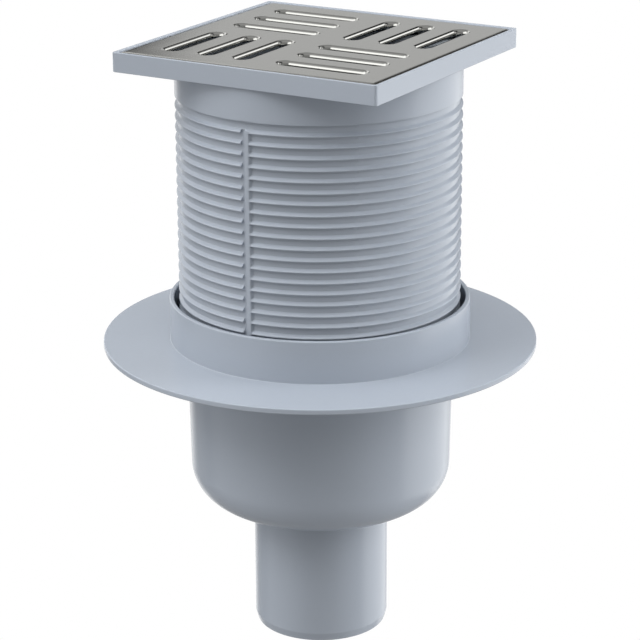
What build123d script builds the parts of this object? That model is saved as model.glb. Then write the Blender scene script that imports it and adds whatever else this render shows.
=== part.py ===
from build123d import *
import math
import os

# Driving dimensions in millimetres and degrees
# The origin is the centre of the outlet's lower end, and +Z is up the drain's axis.

# Outlet pipe
outlet_diameter = 50.0
outlet_wall = 1.8
outlet_length = 49.4
outlet_lead_in = 0.85
outlet_lead_in_height = 3.05

# Square frame at floor level
frame_side = 105.0
frame_corner_radius = 1.0
frame_rim = 1.5
frame_ledge = 2.0
frame_floor = 2.0
frame_inset = 1.0

# Ringed neck below the frame
neck_wall = 1.8
ring_depth = 1.2
ring_pitch = 4.0
ring_land = 1.7
ring_count = 22
plain_band = 11.0
neck_tail = 3.8
strip_width = 2.5
strip_relief = 0.8

# Grille sheet, with rolled slots in four blocks
sheet = 1.2
sheet_recess = 0.5
sheet_gap = 0.3
sheet_corner_radius = 1.5
slots_in_block = 3
slot_width = 5.0
slot_roll = 1.5
slot_depth = 2.5
slot_border = 9.45
slot_land = 9.5
drip_gap = 2.0

# Collar and flange of the body
collar_gap = 1.8
collar_wall = 1.7
collar_height = 16.4
collar_root_radius = 3.0
flange_width = 24.5
flange_thickness = 2.0
edge_radius = 0.4

# Cup under the flange
cup_height = 62.1
cup_wall = 2.0
cup_ledge = 1.4
cup_draft = 1.05
cup_floor_slope = 3.9
cup_corner_radius = 15.0
cup_root_radius = 1.0

# Standpipe of the trap
tube_wall = 2.0
spigot_length = 16.0
spigot_clearance = 0.3
shoulder_overlap = 3.8
shoulder_thickness = 2.5
shoulder_margin = 0.5

# Bell of the trap
water_seal = 50.0
bell_rim_gap = 8.0
bell_side_gap = 8.7
bell_top_gap = 9.0
bell_wall = 1.8
bell_shoulder_radius = 4.0
fin_count = 4
fin_start_angle = 45.0
fin_thickness = 1.6
fin_length = 25.0
fin_clearance = 0.2
fin_rim_step = 0.5
knob_stem_radius = 5.0
knob_head_radius = 9.0
knob_gap = 9.0
knob_head_height = 4.0
knob_edge_radius = 1.2

# Rubber rings
seal_clearance = 0.08
neck_seal_flare = 0.55
neck_seal_lip = 0.7
groove_height = 2.2
groove_depth = 1.7
groove_wall = 1.2
groove_below_shoulder = 7.0

# Heights that follow from the driving dimensions
cup_bottom = outlet_length
cup_floor = cup_bottom + cup_wall
flange_bottom = cup_bottom + cup_height
flange_top = flange_bottom + flange_thickness
collar_top = flange_top + collar_height
neck_end = flange_top
band_bottom = neck_end + neck_tail + ring_count * ring_pitch
frame_bottom = band_bottom + plain_band
frame_pan = frame_bottom + frame_floor
lip_bottom = frame_pan + drip_gap
sheet_top = lip_bottom + slot_depth
sheet_bottom = sheet_top - sheet
frame_top = sheet_top + sheet_recess
bell_rim = cup_floor + bell_rim_gap
tube_top = bell_rim + water_seal
bell_ceiling = tube_top + bell_top_gap
bell_top = bell_ceiling + bell_wall

# Radii that follow from the driving dimensions
outlet_radius = outlet_diameter / 2
outlet_bore = outlet_radius - outlet_wall
ring_crest = frame_side / 2 - frame_inset
ring_valley = ring_crest - ring_depth
neck_bore = ring_valley - neck_wall
collar_bore = ring_crest + collar_gap
collar_radius = collar_bore + collar_wall
flange_radius = collar_radius + flange_width
cup_mouth = neck_bore - cup_ledge
cup_radius = cup_mouth + cup_wall
spigot_radius = outlet_bore - spigot_clearance
groove_radius = spigot_radius - groove_depth
tube_bore = groove_radius - groove_wall
tube_radius = tube_bore + tube_wall
shoulder_radius = outlet_bore + shoulder_overlap
seat_radius = shoulder_radius + shoulder_margin
bell_radius = cup_mouth - bell_side_gap
bell_bore = bell_radius - bell_wall


def cup_corner(mouth_radius, floor_radius, floor_height):
    """Radius and height where the cup's drafted wall would meet its sloping floor."""
    draft = math.tan(math.radians(cup_draft))
    slope = math.tan(math.radians(cup_floor_slope))
    radius = mouth_radius - (flange_bottom - floor_height + floor_radius * slope) * draft
    radius = radius / (1 - slope * draft)
    return radius, floor_height + (radius - floor_radius) * slope


def round_corners(section, corner_radii):
    """Rounds each corner of the section with the radius given beside it."""
    for place, radius in corner_radii:
        fillet(section.vertices().sort_by_distance(place)[0], radius)


def upright_plane(angle):
    """Plane through the drain's axis, with its first direction at that angle from +X."""
    turn = math.radians(angle)
    outward = (math.cos(turn), math.sin(turn), 0)
    return Plane(origin=(0, 0, 0), x_dir=outward, z_dir=(math.sin(turn), -math.cos(turn), 0))


# Body: outlet, cup, flange and collar in one moulding
outer_corner = cup_corner(cup_radius, outlet_radius, cup_bottom)
inner_corner = cup_corner(cup_mouth, seat_radius, cup_floor)

with BuildPart() as drain_body:
    with BuildSketch(Plane.XZ) as body_section:
        with BuildLine():
            Polyline(
                (outlet_bore, 0),
                (outlet_radius - outlet_lead_in, 0),
                (outlet_radius, outlet_lead_in_height),
                (outlet_radius, cup_bottom),
                outer_corner,
                (cup_radius, flange_bottom),
                (flange_radius, flange_bottom),
                (flange_radius, flange_top),
                (collar_radius, flange_top),
                (collar_radius, collar_top),
                (collar_bore, collar_top),
                (collar_bore, flange_top),
                (cup_mouth, flange_top),
                inner_corner,
                (seat_radius, cup_floor),
                (outlet_bore, cup_floor),
                close=True,
            )
        make_face()
        round_corners(
            body_section,
            [
                (outer_corner, cup_corner_radius),
                (inner_corner, cup_corner_radius - cup_wall),
                ((cup_radius, flange_bottom), cup_root_radius),
                ((collar_radius, flange_top), collar_root_radius),
                ((flange_radius, flange_bottom), edge_radius),
                ((flange_radius, flange_top), edge_radius),
                ((collar_radius, collar_top), edge_radius),
                ((collar_bore, collar_top), edge_radius),
            ],
        )
    revolve(axis=Axis.Z)
drain_body.part.label = "drain_body"

# Neck and frame in one moulding
crests = [band_bottom - turn * ring_pitch for turn in range(ring_count, 0, -1)]
half_ring = (ring_pitch - ring_land) / 2
neck_outline = [(neck_bore, neck_end), (ring_valley, neck_end)]
for crest in crests:
    neck_outline += [
        (ring_valley, crest - half_ring),
        (ring_crest, crest),
        (ring_valley, crest + half_ring),
    ]
neck_outline += [
    (ring_valley, band_bottom - half_ring),
    (ring_crest, band_bottom),
    (ring_crest, frame_bottom),
    (neck_bore, frame_bottom),
]
recess_side = frame_side - 2 * frame_rim
pan_side = recess_side - 2 * frame_ledge
strip_bottom = crests[1]
strip_reach = 2 * (ring_depth + neck_wall)

with BuildPart() as neck_frame:
    with BuildSketch(Plane.XZ):
        with BuildLine():
            Polyline(neck_outline, close=True)
        make_face()
    revolve(axis=Axis.Z)
    with BuildSketch(Plane.XY.offset(frame_bottom)):
        RectangleRounded(frame_side, frame_side, frame_corner_radius)
        Circle(neck_bore, mode=Mode.SUBTRACT)
    extrude(amount=frame_top - frame_bottom)
    with BuildSketch(Plane.XY.offset(frame_pan)):
        RectangleRounded(pan_side, pan_side, frame_corner_radius)
    extrude(amount=frame_top - frame_pan, mode=Mode.SUBTRACT)
    with BuildSketch(Plane.XY.offset(sheet_bottom)):
        RectangleRounded(recess_side, recess_side, frame_corner_radius)
    extrude(amount=frame_top - sheet_bottom, mode=Mode.SUBTRACT)
    # The upright strip is as high as the rings, and the rings stop short of it on its left
    with BuildSketch(Plane.XY.offset(strip_bottom)):
        with Locations((-strip_width / 2 - strip_relief / 2, -ring_crest)):
            Rectangle(strip_relief, strip_reach)
        Circle(ring_valley, mode=Mode.SUBTRACT)
    extrude(amount=band_bottom - strip_bottom, mode=Mode.SUBTRACT)
    with BuildSketch(Plane.XY.offset(strip_bottom)):
        Circle(ring_crest)
        Circle(ring_valley - neck_wall / 2, mode=Mode.SUBTRACT)
        with Locations((0, -ring_crest)):
            Rectangle(strip_width, strip_reach, mode=Mode.INTERSECT)
    extrude(amount=band_bottom - strip_bottom)
neck_frame.part.label = "neck_frame"

# Grille: flat sheet with four blocks of rolled slots
sheet_side = recess_side - 2 * sheet_gap
block = sheet_side / 2 - slot_border - slot_land / 2
block_centre = slot_land / 2 + block / 2
slot_form = slot_width + 2 * slot_roll
slot_pitch = (block - slot_form) / (slots_in_block - 1)
opening_length = block - 2 * slot_roll
slot_places = []
for side_x in (-1, 1):
    for side_y in (-1, 1):
        along_y = side_x == side_y
        for number in range(slots_in_block):
            step = (number - (slots_in_block - 1) / 2) * slot_pitch
            across = (step, 0) if along_y else (0, step)
            centre = (side_x * block_centre + across[0], side_y * block_centre + across[1], 0)
            slot_places.append(Location(centre, (0, 0, 90 if along_y else 0)))

with BuildPart() as grille:
    with BuildSketch(Plane.XY.offset(sheet_bottom)):
        RectangleRounded(sheet_side, sheet_side, sheet_corner_radius)
    extrude(amount=sheet)
    with BuildSketch(Plane.XY.offset(lip_bottom)):
        with Locations(slot_places):
            SlotOverall(opening_length + 2 * sheet, slot_width + 2 * sheet)
    extrude(amount=sheet_bottom - lip_bottom)
    with BuildSketch(Plane.XY.offset(lip_bottom)):
        with Locations(slot_places):
            SlotOverall(opening_length, slot_width)
    extrude(amount=slot_depth, mode=Mode.SUBTRACT)
    top_face = grille.faces().sort_by(Axis.Z)[-1]
    rolled_edges = [edge for wire in top_face.inner_wires() for edge in wire.edges()]
    fillet(rolled_edges, slot_roll)
grille.part.label = "grille"

# Rubber lip ring between the neck's two lowest rings and the collar
land_low = crests[0] + half_ring + seal_clearance
land_high = crests[1] - half_ring - seal_clearance
land_middle = (land_low + land_high) / 2
seal_inner = ring_valley + seal_clearance
seal_outer = collar_bore - seal_clearance
seal_web_radius = ring_crest + neck_seal_lip

with BuildPart() as neck_seal:
    with BuildSketch(Plane.XZ):
        with BuildLine():
            Polyline(
                (seal_inner, land_low),
                (seal_outer, land_low - neck_seal_flare),
                (seal_outer, land_low - neck_seal_flare + neck_seal_lip),
                (seal_web_radius, land_middle),
                (seal_outer, land_high + neck_seal_flare - neck_seal_lip),
                (seal_outer, land_high + neck_seal_flare),
                (seal_inner, land_high),
                close=True,
            )
        make_face()
    revolve(axis=Axis.Z)
neck_seal.part.label = "neck_seal"

# Standpipe of the trap: spigot with a groove, shoulder and tube
spigot_end = cup_floor - spigot_length
groove_top = cup_floor - groove_below_shoulder
groove_bottom = groove_top - groove_height

with BuildPart() as trap_tube:
    with BuildSketch(Plane.XZ):
        with BuildLine():
            Polyline(
                (tube_bore, spigot_end),
                (spigot_radius, spigot_end),
                (spigot_radius, groove_bottom),
                (groove_radius, groove_bottom),
                (groove_radius, groove_top),
                (spigot_radius, groove_top),
                (spigot_radius, cup_floor),
                (shoulder_radius, cup_floor),
                (shoulder_radius, cup_floor + shoulder_thickness),
                (tube_radius, cup_floor + shoulder_thickness),
                (tube_radius, tube_top),
                (tube_bore, tube_top),
                close=True,
            )
        make_face()
    revolve(axis=Axis.Z)
trap_tube.part.label = "trap_tube"

# Rubber ring in the spigot's groove, squeezed to the width of its gap
cord_radius = (outlet_bore - groove_radius) / 2 - seal_clearance
cord_centre = ((outlet_bore + groove_radius) / 2, (groove_bottom + groove_top) / 2)

with BuildPart() as trap_tube_seal:
    with BuildSketch(Plane.XZ):
        with Locations(cord_centre):
            Circle(cord_radius)
    revolve(axis=Axis.Z)
trap_tube_seal.part.label = "trap_tube_seal"

# Bell of the trap: upturned cup with a pull knob, and fins that stand on the standpipe
knob_neck = bell_top + knob_gap
knob_top = knob_neck + knob_head_height
fin_foot_radius = tube_bore + fin_rim_step
fin_root_radius = bell_bore + bell_wall / 2
fin_root_height = bell_ceiling + bell_wall / 2

with BuildPart() as trap_bell:
    with BuildSketch(Plane.XZ) as bell_section:
        with BuildLine():
            Polyline(
                (0, bell_ceiling),
                (bell_bore, bell_ceiling),
                (bell_bore, bell_rim),
                (bell_radius, bell_rim),
                (bell_radius, bell_top),
                (knob_stem_radius, bell_top),
                (knob_stem_radius, knob_neck),
                (knob_head_radius, knob_neck),
                (knob_head_radius, knob_top),
                (0, knob_top),
                close=True,
            )
        make_face()
        round_corners(
            bell_section,
            [
                ((bell_radius, bell_top), bell_shoulder_radius),
                ((bell_bore, bell_ceiling), bell_shoulder_radius - bell_wall),
                ((knob_stem_radius, bell_top), knob_edge_radius),
                ((knob_head_radius, knob_neck), knob_edge_radius),
                ((knob_head_radius, knob_top), knob_edge_radius),
            ],
        )
    revolve(axis=Axis.Z)
    for number in range(fin_count):
        with BuildSketch(upright_plane(fin_start_angle + number * 360 / fin_count)):
            with BuildLine():
                Polyline(
                    (fin_foot_radius, fin_root_height),
                    (fin_foot_radius, tube_top),
                    (tube_radius + fin_clearance, tube_top),
                    (tube_radius + fin_clearance, tube_top - fin_length),
                    (fin_root_radius, tube_top - fin_length),
                    (fin_root_radius, bell_ceiling),
                    (bell_bore, fin_root_height),
                    close=True,
                )
            make_face()
        extrude(amount=fin_thickness / 2, both=True)
trap_bell.part.label = "trap_bell"

os.makedirs("parts", exist_ok=True)
export_step(drain_body.part, "parts/drain_body.step")
export_step(neck_frame.part, "parts/neck_frame.step")
export_step(neck_seal.part, "parts/neck_seal.step")
export_step(grille.part, "parts/grille.step")
export_step(trap_tube.part, "parts/trap_tube.step")
export_step(trap_tube_seal.part, "parts/trap_tube_seal.step")
export_step(trap_bell.part, "parts/trap_bell.step")
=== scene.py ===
import math

import bmesh
import bpy
from mathutils import Matrix, Vector, geometry


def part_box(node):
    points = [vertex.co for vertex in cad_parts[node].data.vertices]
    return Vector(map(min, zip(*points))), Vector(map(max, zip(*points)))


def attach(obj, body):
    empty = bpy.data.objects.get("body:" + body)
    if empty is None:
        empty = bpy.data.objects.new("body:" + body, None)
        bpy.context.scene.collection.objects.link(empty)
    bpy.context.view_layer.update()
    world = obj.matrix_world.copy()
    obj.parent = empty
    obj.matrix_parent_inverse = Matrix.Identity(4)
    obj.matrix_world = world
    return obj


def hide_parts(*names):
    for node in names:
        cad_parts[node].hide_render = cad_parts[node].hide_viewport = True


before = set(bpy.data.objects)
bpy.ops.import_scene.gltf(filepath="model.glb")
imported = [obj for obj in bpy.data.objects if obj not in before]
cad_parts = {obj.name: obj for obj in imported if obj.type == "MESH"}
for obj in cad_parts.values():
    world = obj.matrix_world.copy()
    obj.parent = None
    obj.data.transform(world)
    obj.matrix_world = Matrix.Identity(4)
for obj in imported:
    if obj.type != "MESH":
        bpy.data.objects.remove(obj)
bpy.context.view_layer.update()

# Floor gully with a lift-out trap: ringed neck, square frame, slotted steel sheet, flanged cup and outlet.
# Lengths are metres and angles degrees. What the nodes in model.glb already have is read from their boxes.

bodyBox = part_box("drain_body")
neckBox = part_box("neck_frame")
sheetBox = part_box("grille")
sheetThickness = 0.0012


def addToScene(name, data):
    thing = bpy.data.objects.new(name, data)
    bpy.context.scene.collection.objects.link(thing)
    return thing


# Camera, at the angle and distance of the photograph

cameraSettings = {
    "lens": 133.938,
    "distance": 0.876544,
    "target": (0, 0, 0.118542),
    "azimuth": 30.388,
    "elevation": 18.758,
    "roll": -0.28,
    "clip": (0.01, 50),
}


# direction out from the axis; azimuth 0 is the -Y side, and to the right of it is positive
def outward(azimuth, elevation):
    a, e = math.radians(azimuth), math.radians(elevation)
    return Vector((math.sin(a) * math.cos(e), -math.cos(a) * math.cos(e), math.sin(e)))


def placeCamera(s):
    back = outward(s["azimuth"], s["elevation"])
    right = outward(s["azimuth"] + 90, 0)
    roll = math.radians(s["roll"])
    across = right * math.cos(roll) + back.cross(right) * math.sin(roll)
    turn = Matrix((across, back.cross(across), back)).transposed().to_4x4()
    turn.translation = Vector(s["target"]) + back * s["distance"]
    camera = addToScene("camera", bpy.data.cameras.new("camera"))
    camera.data.lens = s["lens"]
    camera.data.clip_start, camera.data.clip_end = s["clip"]
    camera.matrix_world = turn
    bpy.context.scene.camera = camera


placeCamera(cameraSettings)
print("camera placed")


# Shader nodes, written as Python expressions

class Socket:
    def __init__(self, finish, end):
        self.finish, self.end = finish, end

    def maths(self, operation, *others, swapped=False):
        terms = (*others, self) if swapped else (self, *others)
        return self.finish.add("Math", {"operation": operation}, dict(enumerate(terms)))

    def __add__(self, other):
        return self.maths("ADD", other)

    def __sub__(self, other):
        return self.maths("SUBTRACT", other)

    def __rsub__(self, other):
        return self.maths("SUBTRACT", other, swapped=True)

    def __mul__(self, other):
        return self.maths("MULTIPLY", other)

    def __abs__(self):
        return self.maths("ABSOLUTE")

    __radd__ = __add__
    __rmul__ = __mul__


class Finish:
    def __init__(self, owner):
        self.owner = owner
        owner.use_nodes = True
        self.tree = owner.node_tree
        self.tree.nodes.clear()

    # any node: its type, its settings, then the values or links of its sockets
    def add(self, kind, settings=None, values=None, end=0):
        node = self.tree.nodes.new("ShaderNode" + kind)
        for name, value in (settings or {}).items():
            setattr(node, name, value)
        for name, value in (values or {}).items():
            if isinstance(value, Socket):
                self.tree.links.new(value.end, node.inputs[name])
            else:
                node.inputs[name].default_value = value
        return Socket(self, node.outputs[end]) if node.outputs else None

    # where a point is on its own piece
    def place(self):
        return self.add("TexCoord", end=3)

    def noise(self, place, scale, detail, rough=0.55):
        values = {"Vector": place, "Scale": scale, "Detail": detail, "Roughness": rough}
        return self.add("TexNoise", None, values)

    # a colour that goes from one strength of itself to another, as the mask goes from 0 to 1
    def shades(self, mask, colour, dark, light):
        ends = {6: (*(c * dark for c in colour), 1), 7: (*(c * light for c in colour), 1)}
        return self.add("Mix", {"data_type": "RGBA"}, {0: mask} | ends, end=2)

    def bump(self, height, depth, under=None):
        values = {"Height": height, "Distance": depth}
        if under is not None:
            values["Normal"] = under
        return self.add("Bump", None, values)

    # 0 below the edge and 1 above it, with a soft step of the given half width
    def softEdge(self, value, edge, half):
        span = {"Value": value, "From Min": edge - half, "From Max": edge + half}
        return self.add("MapRange", {"interpolation_type": "SMOOTHSTEP"}, span)

    def shader(self, values):
        skin = self.add("BsdfPrincipled", None, values)
        self.add("OutputMaterial", None, {"Surface": skin})
        return self.owner


# Satin moulded plastic, with slight clouds, specks and an orange-peel skin

mouldingFinish = {
    "colour": (0.385, 0.425, 0.485),
    "shade": 0.035,
    "roughness": 0.22,
    "grain": 0.05,
    "ior": 1.49,
    "cloudScale": 14,
    "speckScale": 900,
    "speckShare": 0.3,
    "speckDepth": 0.000006,
    "peelScale": 260,
    "peelDepth": 0.00002,
}


def mouldedPlastic(name, s):
    f = Finish(bpy.data.materials.new(name))
    place = f.place()
    cloud = f.noise(place, s["cloudScale"], detail=2)
    speck = f.noise(place, s["speckScale"], detail=2)
    peel = f.noise(place, s["peelScale"], detail=3)
    mottle = cloud * (1 - s["speckShare"]) + speck * s["speckShare"]
    return f.shader({
        "Base Color": f.shades(mottle, s["colour"], 1 - s["shade"], 1 + s["shade"]),
        "Roughness": s["roughness"] + (cloud - 0.5) * s["grain"] + (speck - 0.5) * s["grain"],
        "Normal": f.bump(peel, s["peelDepth"], under=f.bump(speck, s["speckDepth"])),
        "IOR": s["ior"],
    })


# Stainless sheet, brushed on the flat and polished on the rolled slot edges

steelFinish = {
    "colour": (0.70, 0.70, 0.67),
    "shade": 0.05,
    "flatRoughness": 0.17,
    "rolledRoughness": 0.13,
    "brushStretch": (1.0, 40.0, 1.0),
    "brushScale": 110,
    "brushShare": 0.6,
    "brushWear": 0.1,
    "brushDepth": 0.000004,
    "cloudScale": 22,
    "cloudWear": 0.04,
}


def brushedSteel(name, s):
    f = Finish(bpy.data.materials.new(name))
    place = f.place()
    rolled = f.add("Attribute", {"attribute_name": "rolled"}, end=2)
    along = f.add("VectorMath", {"operation": "MULTIPLY"}, {0: place, 1: s["brushStretch"]})
    brush = f.noise(along, s["brushScale"], detail=5, rough=0.7)
    cloud = f.noise(place, s["cloudScale"], detail=2)
    flat = 1 - rolled
    wear = (brush - 0.5) * s["brushWear"] + (cloud - 0.5) * s["cloudWear"] + s["flatRoughness"]
    mottle = brush * s["brushShare"] + cloud * (1 - s["brushShare"])
    return f.shader({
        "Base Color": f.shades(mottle, s["colour"], 1 - s["shade"], 1 + s["shade"]),
        "Metallic": 1.0,
        "Roughness": rolled * s["rolledRoughness"] + flat * wear,
        "Normal": f.bump(brush * flat, s["brushDepth"]),
    })


# Matt black rubber with a little dust

rubberFinish = {
    "colour": (0.018, 0.018, 0.02),
    "dark": 0.8,
    "light": 1.6,
    "roughness": 0.62,
    "grain": 0.2,
    "dustScale": 300,
    "dustDepth": 0.00003,
}


def mattRubber(name, s):
    f = Finish(bpy.data.materials.new(name))
    dust = f.noise(f.place(), s["dustScale"], detail=4)
    return f.shader({
        "Base Color": f.shades(dust, s["colour"], s["dark"], s["light"]),
        "Roughness": s["roughness"] + (dust - 0.5) * s["grain"],
        "Normal": f.bump(dust, s["dustDepth"]),
    })


greyPlastic = mouldedPlastic("greyMoulding", mouldingFinish)
trapPlastic = mouldedPlastic("trapMoulding", mouldingFinish | {"roughness": 0.38})
sheetSteel = brushedSteel("sheetSteel", steelFinish)
sealRubber = mattRubber("sealRubber", rubberFinish)
print("materials made")


# Outlines and surfaces

# a closed outline of (r, z, rounding) corners, with each rounded corner drawn as an arc
def softOutline(corners, fewest=3, steps=5, perRounding=0.004):
    points = []
    for i, (r, z, rounding) in enumerate(corners):
        here = Vector((r, z))
        if rounding == 0:
            points.append(here)
            continue
        before = (Vector(corners[i - 1][:2]) - here).normalized()
        after = (Vector(corners[(i + 1) % len(corners)][:2]) - here).normalized()
        half = before.angle(after) / 2
        reach = rounding / math.tan(half)
        centre = here + (before + after).normalized() * (rounding / math.sin(half))
        start, stop = here + before * reach - centre, here + after * reach - centre
        swing = start.angle_signed(stop)
        count = max(fewest, round(steps * (1 + rounding / perRounding)))
        for k in range(count + 1):
            turn = -swing * k / count
            points.append(centre + Vector((
                start.x * math.cos(turn) - start.y * math.sin(turn),
                start.x * math.sin(turn) + start.y * math.cos(turn),
            )))
    return points


# a closed surface of rows that each go once round the axis, the last row joined to the first
def ringSurface(name, rows, finish):
    mesh = bpy.data.meshes.new(name)
    across = len(rows[0])
    spots = [p for row in rows for p in row]
    faces = []
    for i in range(len(rows)):
        low, high = i * across, (i + 1) % len(rows) * across
        for j in range(across):
            k = (j + 1) % across
            faces.append((low + j, low + k, high + k, high + j))
    mesh.from_pydata(spots, [], faces)
    mesh.polygons.foreach_set("use_smooth", [True] * len(faces))
    mesh.materials.append(finish)
    return addToScene(name, mesh)


# large faces keep their own flat normal beside small rounded edges
def weighNormals(piece):
    weighted = piece.modifiers.new("weighted", "WEIGHTED_NORMAL")
    weighted.weight = 80
    weighted.keep_sharp = True


def smoothStep(t):
    t = min(max(t, 0), 1)
    return t * t * (3 - 2 * t)


# the directions of a quarter of a circle
def quarterArc(steps):
    return [math.pi / 2 * k / steps for k in range(steps + 1)]


def onCircle(angle, radius, z):
    return (radius * math.cos(angle), radius * math.sin(angle), z)


def circleRow(turns, radius, z):
    return [onCircle(a, radius, z) for a in turns]


# where a ray from the axis meets a square with rounded corners
def onSquare(angle, half, corner, z):
    x, y = abs(math.cos(angle)), abs(math.sin(angle))
    reach = half / max(x, y)
    inner = half - corner
    if min(x, y) * reach > inner:
        middle = inner * (x + y)
        reach = middle + math.sqrt(max(middle * middle - 2 * inner * inner + corner * corner, 0))
    return (reach * math.cos(angle), reach * math.sin(angle), z)


# Body moulding: collar, flange, cup and outlet

bodySizes = {
    "outletRadius": 0.025,
    "outletWall": 0.0018,
    "leadIn": (0.00085, 0.00305),
    "leadRound": 0.0012,
    "cupBottom": 0.0494,
    "cupWall": 0.002,
    "cupMouth": 0.0471,
    "cupRise": 0.0621,
    "cupDraft": 1.05,
    "cupSlope": 3.9,
    "cupRound": 0.015,
    "cupRoot": 0.001,
    "flange": 0.002,
    "collarBore": 0.0533,
    "collarWall": 0.0017,
    "collarRoot": 0.0003,
    "collarDrop": 0.0008,  # how far the rim is below the solid's
    "seat": 0.0275,
    "edge": 0.0004,
    "lipEdge": 0.0005,
    "boreEdge": 0.0002,
    "smallEdge": 0.0003,
    "innerRound": 0.0006,
    "columns": 240,
}


# where the cup's drafted wall meets its slightly sloped floor
def cupCorner(s, mouth, floorRadius, floorZ):
    draft, slope = (math.tan(math.radians(s[k])) for k in ("cupDraft", "cupSlope"))
    rise = s["cupBottom"] + s["cupRise"] - floorZ
    r = (mouth - (rise + floorRadius * slope) * draft) / (1 - slope * draft)
    return r, floorZ + (r - floorRadius) * slope


def makeBody(s):
    bore = s["outletRadius"] - s["outletWall"]
    floorZ = s["cupBottom"] + s["cupWall"]
    flangeLow = s["cupBottom"] + s["cupRise"]
    flangeTop = flangeLow + s["flange"]
    flangeRim, collarTop = bodyBox[1].x, bodyBox[1].z - s["collarDrop"]
    cupOut = s["cupMouth"] + s["cupWall"]
    collarOut = s["collarBore"] + s["collarWall"]
    leadAcross, leadUp = s["leadIn"]
    outline = softOutline([
        (bore, 0, s["boreEdge"]),
        (s["outletRadius"] - leadAcross, 0, s["smallEdge"]),
        (s["outletRadius"], leadUp, s["leadRound"]),
        (s["outletRadius"], s["cupBottom"], s["innerRound"]),
        (*cupCorner(s, cupOut, s["outletRadius"], s["cupBottom"]), s["cupRound"]),
        (cupOut, flangeLow, s["cupRoot"]),
        (flangeRim, flangeLow, s["edge"]),
        (flangeRim, flangeTop, s["edge"]),
        (collarOut, flangeTop, s["collarRoot"]),
        (collarOut, collarTop, s["lipEdge"]),
        (s["collarBore"], collarTop, s["lipEdge"]),
        (s["collarBore"], flangeTop, s["innerRound"]),
        (s["cupMouth"], flangeTop, s["smallEdge"]),
        (*cupCorner(s, s["cupMouth"], s["seat"], floorZ), s["cupRound"] - s["cupWall"]),
        (s["seat"], floorZ, 0),
        (bore, floorZ, s["smallEdge"]),
    ])
    turns = [2 * math.pi * k / s["columns"] for k in range(s["columns"])]
    piece = ringSurface("bodyMoulding", [circleRow(turns, p.x, p.y) for p in outline], greyPlastic)
    weighNormals(piece)
    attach(piece, "drain_body")
    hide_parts("drain_body")


makeBody(bodySizes)
print("body moulded")


# Neck moulding: ringed neck, plain band, upright strip and square frame

neckSizes = {
    "wall": 0.0018,
    "inset": 0.001,
    "endRound": 0.0003,
    "rings": 22,
    "pitch": 0.004,
    "crestDrop": 0.0005,  # from the plain band to the first crest
    "grooveDepth": 0.00115,
    "underside": (0.00003, 0.0004),  # distances below a crest, where the groove falls to its depth
    "flank": (0.0026, 0.00382),  # and where it rises to the next crest
    "profileSteps": (6, 9),
    "bandHeight": 0.011,
    "bandEdge": 0.003,
    "bandFillet": 0.0005,
    "filletSteps": 4,
    "frameHeight": 0.007,
    "rim": 0.0015,
    "ledge": 0.002,
    "pan": 0.002,
    "corner": 0.001,
    "edge": 0.00022,
    "edgeSteps": 3,
    "bevel": 0.0005,
    "bevelBend": (0.4, 0.35),
    "boreEdge": 0.0002,
    "columns": 160,
    "cornerTurns": (45, 135, 225, 315),
    "cornerSteps": (-0.9, -0.62, -0.45, -0.3, -0.15, 0, 0.15, 0.3, 0.45, 0.62, 0.9),
    "cornerReach": 1.3,
}
# upright strip with a notch on its left, by distances round the neck from the middle of its -Y side
stripSizes = {
    "sides": (0.00075, 0.0021),
    "notch": -0.0008,
    "fade": 0.0031,
    "flank": 0.0001,
    "top": 0.0031,  # below the first crest
    "reach": 0.005,
    "rampSteps": 5,
    "spacing": 0.00055,
    "spacingFromTo": (-4, 8),
}


# one ring, as distances down from its crest, each with the depth there
def ringProfile(s):
    fallStart, fallEnd = s["underside"]
    riseStart, riseEnd = s["flank"]
    fallSteps, riseSteps = s["profileSteps"]
    steps = [fallStart + (fallEnd - fallStart) * k / fallSteps for k in range(fallSteps + 1)]
    steps.append((fallEnd + riseStart) / 2)
    steps += [riseStart + (riseEnd - riseStart) * k / riseSteps for k in range(riseSteps + 1)]
    profile = []
    for step in steps:
        fall = smoothStep((step - fallStart) / (fallEnd - fallStart))
        rise = smoothStep((riseEnd - step) / (riseEnd - riseStart))
        profile.append((step, s["grooveDepth"] * min(fall, rise)))
    return profile


# the neck's directions, closer together at the strip and at the frame's corners
def neckTurns(s, strip, crest):
    left, right = strip["sides"]
    notch, flank = strip["notch"], strip["flank"]
    ramps = ((notch - flank, notch), (left - flank, left), (right, strip["fade"]))
    count = strip["rampSteps"]
    across = [start + (end - start) * k / count for start, end in ramps for k in range(count + 1)]
    low, high = strip["spacingFromTo"]
    across += [strip["spacing"] * k for k in range(low, high + 1)]
    fine = [270 + math.degrees(x / crest) for x in sorted(across)]
    corners = [corner + step for corner in s["cornerTurns"] for step in s["cornerSteps"]]
    even = 360 / s["columns"]
    first, last = fine[0] - even / 2, fine[-1] + even / 2
    kept = []
    for a in (even * k for k in range(s["columns"])):
        if not first < a < last and all(abs(a - corner) > s["cornerReach"] for corner in s["cornerTurns"]):
            kept.append(a)
    return [math.radians(a) for a in sorted(kept + fine + corners)]


# the shares of ring and of strip in the surface, at a distance round the neck
def ringAndStrip(strip, across):
    left, right = strip["sides"]
    if across < left:
        ring = smoothStep((strip["notch"] - across) / strip["flank"])
        return ring, smoothStep((across - left + strip["flank"]) / strip["flank"])
    ring = smoothStep((across - right) / (strip["fade"] - right))
    return ring, 1 - ring


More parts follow.
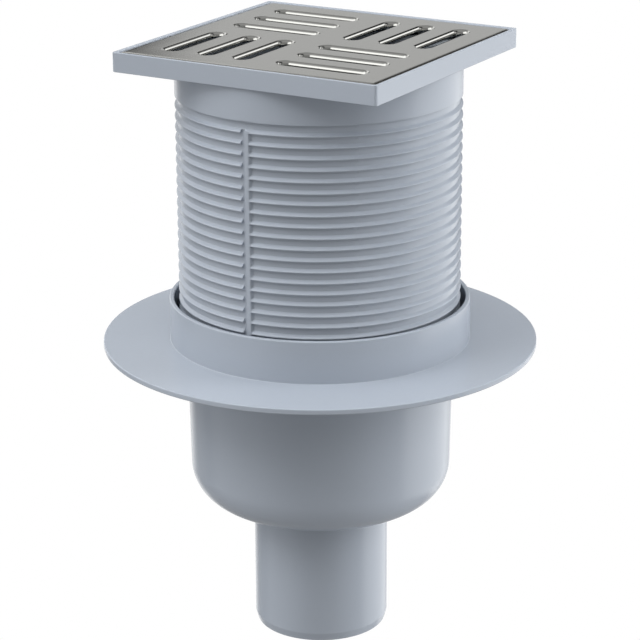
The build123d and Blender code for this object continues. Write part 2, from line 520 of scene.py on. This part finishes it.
def ringRows(s, strip, turns, crest, bandLow, neckEnd):
    stripLow = bandLow - (s["rings"] - 1) * s["pitch"]
    stripHigh = bandLow - s["crestDrop"] - strip["top"]
    levels = [(neckEnd + 3 * s["endRound"], s["grooveDepth"])]
    for ring in reversed(range(s["rings"])):
        top = bandLow - s["crestDrop"] - ring * s["pitch"]
        levels += [(top - step, depth) for step, depth in reversed(ringProfile(s))]
    rows = []
    for z, depth in levels:
        if z < neckEnd + 2 * s["endRound"]:
            continue
        row = []
        for a in turns:
            across = (a - 1.5 * math.pi) * crest
            beside = abs(across) > strip["reach"] or not stripLow <= z <= stripHigh
            ring, bar = (1, 0) if beside else ringAndStrip(strip, across)
            row.append(onCircle(a, crest - s["grooveDepth"] * (1 - ring - bar) - ring * depth, z))
        rows.append(row)
    return rows


# the frame from its underside round the rim, down past the sheet's ledge to the pan
def frameRows(s, turns, half, frameLow, frameTop):
    sheetLow = sheetBox[1].z - sheetThickness
    pan = frameLow + s["pan"]
    recess = half - s["rim"]
    shelf = recess - s["ledge"]
    e, bevel = s["edge"], s["bevel"]
    bendIn, bendDown = s["bevelBend"]
    arc = quarterArc(s["edgeSteps"])
    steps = [(half - e * (1 - math.cos(t)), frameLow + e * (1 - math.sin(t))) for t in reversed(arc)]
    steps += [(half - e * (1 - math.cos(t)), frameTop - e * (1 - math.sin(t))) for t in arc]
    steps += [(recess + bevel, frameTop), (recess + bevel * bendIn, frameTop - bevel * bendDown)]
    steps += [(recess, frameTop - bevel), (recess, sheetLow + e), (recess - e, sheetLow)]
    steps += [(shelf + e, sheetLow), (shelf, sheetLow - e), (shelf, pan + e), (shelf - e, pan)]
    return [[onSquare(a, side, s["corner"], z) for a in turns] for side, z in steps]


def makeNeck(s, strip):
    half, frameTop, neckEnd = neckBox[1].x, neckBox[1].z, neckBox[0].z
    frameLow = frameTop - s["frameHeight"]
    bandLow = frameLow - s["bandHeight"]
    pan = frameLow + s["pan"]
    crest = half - s["inset"]
    valley = crest - s["grooveDepth"]
    bore = valley - s["wall"]
    turns = neckTurns(s, strip, crest)
    rows = [circleRow(turns, valley, neckEnd + s["endRound"])]
    rows += ringRows(s, strip, turns, crest, bandLow, neckEnd)
    rows += [circleRow(turns, crest, z) for z in (bandLow, bandLow + s["bandEdge"])]
    for t in quarterArc(s["filletSteps"]):
        out, down = s["bandFillet"] * (1 - math.cos(t)), s["bandFillet"] * (1 - math.sin(t))
        rows.append(circleRow(turns, crest + out, frameLow - down))
    rows += frameRows(s, turns, half, frameLow, frameTop)
    e = s["boreEdge"]
    for r, z in ((bore + e, pan), (bore, pan - e), (bore, (pan + neckEnd) / 2), (bore, neckEnd)):
        rows.append(circleRow(turns, r, z))
    rows.append(circleRow(turns, valley - s["endRound"], neckEnd))
    piece = ringSurface("neckMoulding", rows, greyPlastic)
    weighNormals(piece)
    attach(piece, "neck")
    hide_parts("neck_frame")


makeNeck(neckSizes, stripSizes)
print("neck moulded")


# Slotted steel sheet, its slot edges rolled down

sheetSizes = {
    "rise": 0.0004,  # how far its top is above the solid's
    "corner": 0.0015,
    "leastCorner": 0.0003,
    "cornerSteps": 6,
    "border": 0.00945,
    "borderCurve": (0.0018, 0.0009),
    "curveSteps": 6,
    "land": 0.0095,
    "inBlock": 3,
    "slotWidth": 0.005,
    "endSteps": 14,
    "roll": 0.0015,
    "rollSteps": 7,
    "lipShare": 0.8,
    "edge": 0.0002,
}


# four blocks of slots, upright and across by turns, each place as (x, y, upright), and the slots' length
def slotPlaces(s, side):
    block = side - s["border"] - s["land"] / 2
    middle = s["land"] / 2 + block / 2
    form = s["slotWidth"] + 2 * s["roll"]
    pitch = (block - form) / (s["inBlock"] - 1)
    places = []
    for sideX in (-1, 1):
        for sideY in (-1, 1):
            upright = sideX == sideY
            for number in range(s["inBlock"]):
                step = (number - (s["inBlock"] - 1) / 2) * pitch
                x = sideX * middle + (step if upright else 0)
                y = sideY * middle + (0 if upright else step)
                places.append((x, y, upright))
    return places, block - 2 * s["roll"]


# points once round a slot, grown outwards by the given width
def slotLoop(s, place, length, grow):
    x, y, upright = place
    radius = s["slotWidth"] / 2 + grow
    straight = (length - s["slotWidth"]) / 2
    spots = []
    for end in (1, -1):
        for k in range(s["endSteps"] + 1):
            a = math.pi * k / s["endSteps"] - end * math.pi / 2
            spots.append((end * straight + radius * math.cos(a), radius * math.sin(a)))
        spots.append((0, end * radius))
    return [(x - v, y + u) if upright else (x + u, y + v) for u, v in spots]


# points once round the sheet, inwards of its edge by the inset
def sheetLoop(s, side, inset):
    half, corner = side - inset, max(s["corner"] - inset, s["leastCorner"])
    points = []
    for number, (sx, sy) in enumerate(((1, 1), (-1, 1), (-1, -1), (1, -1))):
        for k in range(s["cornerSteps"] + 1):
            a = math.pi / 2 * (number + k / s["cornerSteps"])
            x, y = sx * (half - corner), sy * (half - corner)
            points.append((x + corner * math.cos(a), y + corner * math.sin(a)))
    return points


def makeSheet(s):
    side, top, low = sheetBox[1].x, sheetBox[1].z + s["rise"], sheetBox[0].z
    under = sheetBox[1].z - sheetThickness
    places, length = slotPlaces(s, side)
    made = bmesh.new()
    rolled = made.verts.layers.float.new("rolled")

    def loop(points, z, polish):
        ring = []
        for x, y in points:
            vert = made.verts.new((x, y, z))
            vert[rolled] = polish
            ring.append(vert)
        return ring

    def bridge(first, second):
        for i in range(len(first)):
            k = (i + 1) % len(first)
            made.faces.new((first[i], first[k], second[k], second[i]))

    # fills between the sheet's edge and the slots' outermost loops
    def fill(outer, holes, upward):
        loops = [outer] + holes
        verts = [vert for ring in loops for vert in ring]
        owner = [number for number, ring in enumerate(loops) for vert in ring]
        flat = [Vector(vert.co[:2]) for vert in verts]
        edges = []
        for ring in loops:
            start = len(edges)
            edges += [(start + i, start + (i + 1) % len(ring)) for i in range(len(ring))]
        for triangle in geometry.delaunay_2d_cdt(flat, edges, [], 1, 1e-7)[2]:
            owners = {owner[i] for i in triangle}
            if len(owners) > 1 or 0 in owners:
                made.faces.new([verts[i] for i in (triangle if upward else triangle[::-1])])

    width, drop = s["borderCurve"]
    outer = []
    for t in quarterArc(s["curveSteps"]):
        inset, down = width * (1 - math.sin(t)), drop * (1 - math.cos(t))
        outer.append(loop(sheetLoop(s, side, inset), top - down, 0))
    outer.append(loop(sheetLoop(s, side, 0), under, 0))
    for upper, lower in zip(outer, outer[1:]):
        bridge(lower, upper)

    # each slot's edge, rolled down and back up to the sheet's underside
    roll, e, lip = s["roll"], s["edge"], sheetThickness * s["lipShare"]
    steps = [(roll * (1 - math.sin(t)), top - roll * (1 - math.cos(t))) for t in quarterArc(s["rollSteps"])]
    steps += [(0, low + e), (e, low), (lip - e, low), (lip, low + e), (lip, under)]
    topHoles, lowHoles = [], []
    for place in places:
        rings = []
        for number, (grow, z) in enumerate(steps):
            rings.append(loop(slotLoop(s, place, length, grow), z, 1 if number else 0))
        for first, second in zip(rings, rings[1:]):
            bridge(first, second)
        topHoles.append(rings[0])
        lowHoles.append(rings[-1])
    fill(outer[0], topHoles, True)
    fill(outer[-1], lowHoles, False)

    mesh = bpy.data.meshes.new("slottedSheet")
    bmesh.ops.recalc_face_normals(made, faces=made.faces[:])
    made.to_mesh(mesh)
    made.free()
    mesh.polygons.foreach_set("use_smooth", [True] * len(mesh.polygons))
    mesh.materials.append(sheetSteel)
    piece = addToScene("slottedSheet", mesh)
    weighNormals(piece)
    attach(piece, "neck")
    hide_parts("grille")


makeSheet(sheetSizes)
print("sheet pressed")


# Trap pieces and rubber rings keep their shape and take a finish

def giveFinish(node, finish):
    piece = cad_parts[node]
    piece.data.materials.clear()
    piece.data.materials.append(finish)


giveFinish("trap_tube", trapPlastic)
giveFinish("trap_bell", trapPlastic)
giveFinish("trap_tube_seal", sealRubber)
giveFinish("neck_seal", sealRubber)
print("trap and seals finished")


# Pale floor that curves up into a wall all round; only the camera sees it, so it throws no light on the part

floorSettings = {
    "colour": (1.0, 1.0, 1.0),
    "glow": 1.0,
    "outline": ((0.01, 0), (2.5, 0), (3.3, 0.2), (3.8, 0.7), (4.0, 1.5), (4.0, 6.0)),
    "columns": 48,
}


def layFloor(s):
    mesh = bpy.data.meshes.new("floor")
    across = s["columns"]
    turns = [2 * math.pi * k / across for k in range(across)]
    spots = [p for r, z in s["outline"] for p in circleRow(turns, r, z)]
    faces = [tuple(range(across))]
    for row in range(len(s["outline"]) - 1):
        low, high = row * across, (row + 1) * across
        for j in range(across):
            k = (j + 1) % across
            faces.append((low + j, high + j, high + k, low + k))
    mesh.from_pydata(spots, [], faces)
    f = Finish(bpy.data.materials.new("floorPaper"))
    mesh.materials.append(f.shader({
        "Base Color": (0, 0, 0, 1),
        "Roughness": 1.0,
        "Specular IOR Level": 0.0,
        "Emission Color": (*s["colour"], 1),
        "Emission Strength": s["glow"],
    }))
    floor = addToScene("floor", mesh)
    floor.visible_diffuse = False
    floor.visible_glossy = False
    floor.visible_transmission = False
    floor.visible_shadow = False


# Soft studio light from all round, as panels; azimuth 0 is the camera's side, and to the right is positive

lightPanels = {
    # name: azimuth from and to, elevation from and to, softness across and up, strength
    "top": (-180, 180, 64, 200, 10, 6, 0.34),
    "ceilingFront": (-45, 62, 42, 64, 10, 6, 0.28),
    "ceilingFrontLeft": (-75, -45, 50, 64, 10, 5, 0.36),
    "ceilingLeft": (-130, -75, 42, 64, 10, 6, 0.41),
    "ceilingBack": (130, 230, 34, 64, 10, 6, 0.28),
    "rightHigh": (74, 112, 18, 44, 4, 5, 0.6),
    "rightBackHigh": (119, 140, 15, 35, 4, 5, 1.37),
    "rightMiddle": (74, 108, -5, 20, 4, 3, 0.25),
    "rightLow": (79, 150, -36, -5, 4, 3, 1.42),
    "backLow": (150, 210, -36, -5, 10, 3, 0.91),
    "leftMiddle": (-122, -50, -5, 46, 8, 7, 1.42),
    "leftBack": (-168, -128, -5, 34, 4, 6, 0.82),
    "backLeftHigh": (-177, -163, 17, 34, 2, 2, 0.65),
    "leftBackLow": (-170, -120, -36, -5, 8, 3, 0.3),
    "leftLow": (-112, -45, -36, -5, 10, 3, 0.51),
    "frontMiddle": (-60, 66, -5, 42, 8, 4, 0.22),
    "frontLow": (-45, 79, -36, -5, 8, 3, 0.37),
    "backPanel": (150, 184, 2, 22, 1.5, 4, 0.5),
    "below": (-180, 180, -200, -36, 10, 4, 0.4),
}


def lightWorld(panels):
    f = Finish(bpy.data.worlds.new("studio"))
    a = math.radians(cameraSettings["azimuth"])
    ray = f.add("TexCoord")
    x, y, z = (f.add("SeparateXYZ", None, {"Vector": ray}, end=k) for k in range(3))
    along = x * math.sin(a) - y * math.cos(a)
    across = x * math.cos(a) + y * math.sin(a)
    azimuth = across.maths("ARCTAN2", along) * (180 / math.pi)
    elevation = z.maths("ARCSINE") * (180 / math.pi)
    light = 0
    for left, right, low, high, softAcross, softUp, strength in panels.values():
        glow = f.softEdge(elevation, low, softUp) * (1 - f.softEdge(elevation, high, softUp))
        if right - left < 360:
            off = abs((azimuth - (left + right) / 2).maths("WRAP", 180, -180))
            glow = glow * (1 - f.softEdge(off, (right - left) / 2, softAcross))
        light = glow * strength + light
    sky = f.add("Background", None, {"Color": (1, 1, 1, 1), "Strength": light})
    f.add("OutputWorld", None, {"Surface": sky})
    bpy.context.scene.world = f.owner


# wide soft lamps that light the part without showing as reflections in it
softLamps = {
    # name: azimuth, elevation, width, strength
    "sideLamp": (90, 7.5, 36, 1.73),
    "sideHighLamp": (90, 31, 26, 0.59),
    "leftLamp": (-67, 54, 36, 1.15),
    "frontLamp": (8, 54, 50, 0.78),
    "topLamp": (0, 90, 48, 1.05),
}


def hangLamps(lamps):
    for name, (azimuth, elevation, width, strength) in lamps.items():
        out = outward(cameraSettings["azimuth"] + azimuth, elevation)
        lamp = addToScene(name, bpy.data.lights.new(name, "SUN"))
        lamp.data.energy = strength
        lamp.data.angle = math.radians(width)
        lamp.rotation_euler = out.to_track_quat("Z", "Y").to_euler()
        lamp.visible_glossy = False


layFloor(floorSettings)
lightWorld(lightPanels)
hangLamps(softLamps)
bpy.context.scene.view_settings.view_transform = "Standard"
print("studio lit")
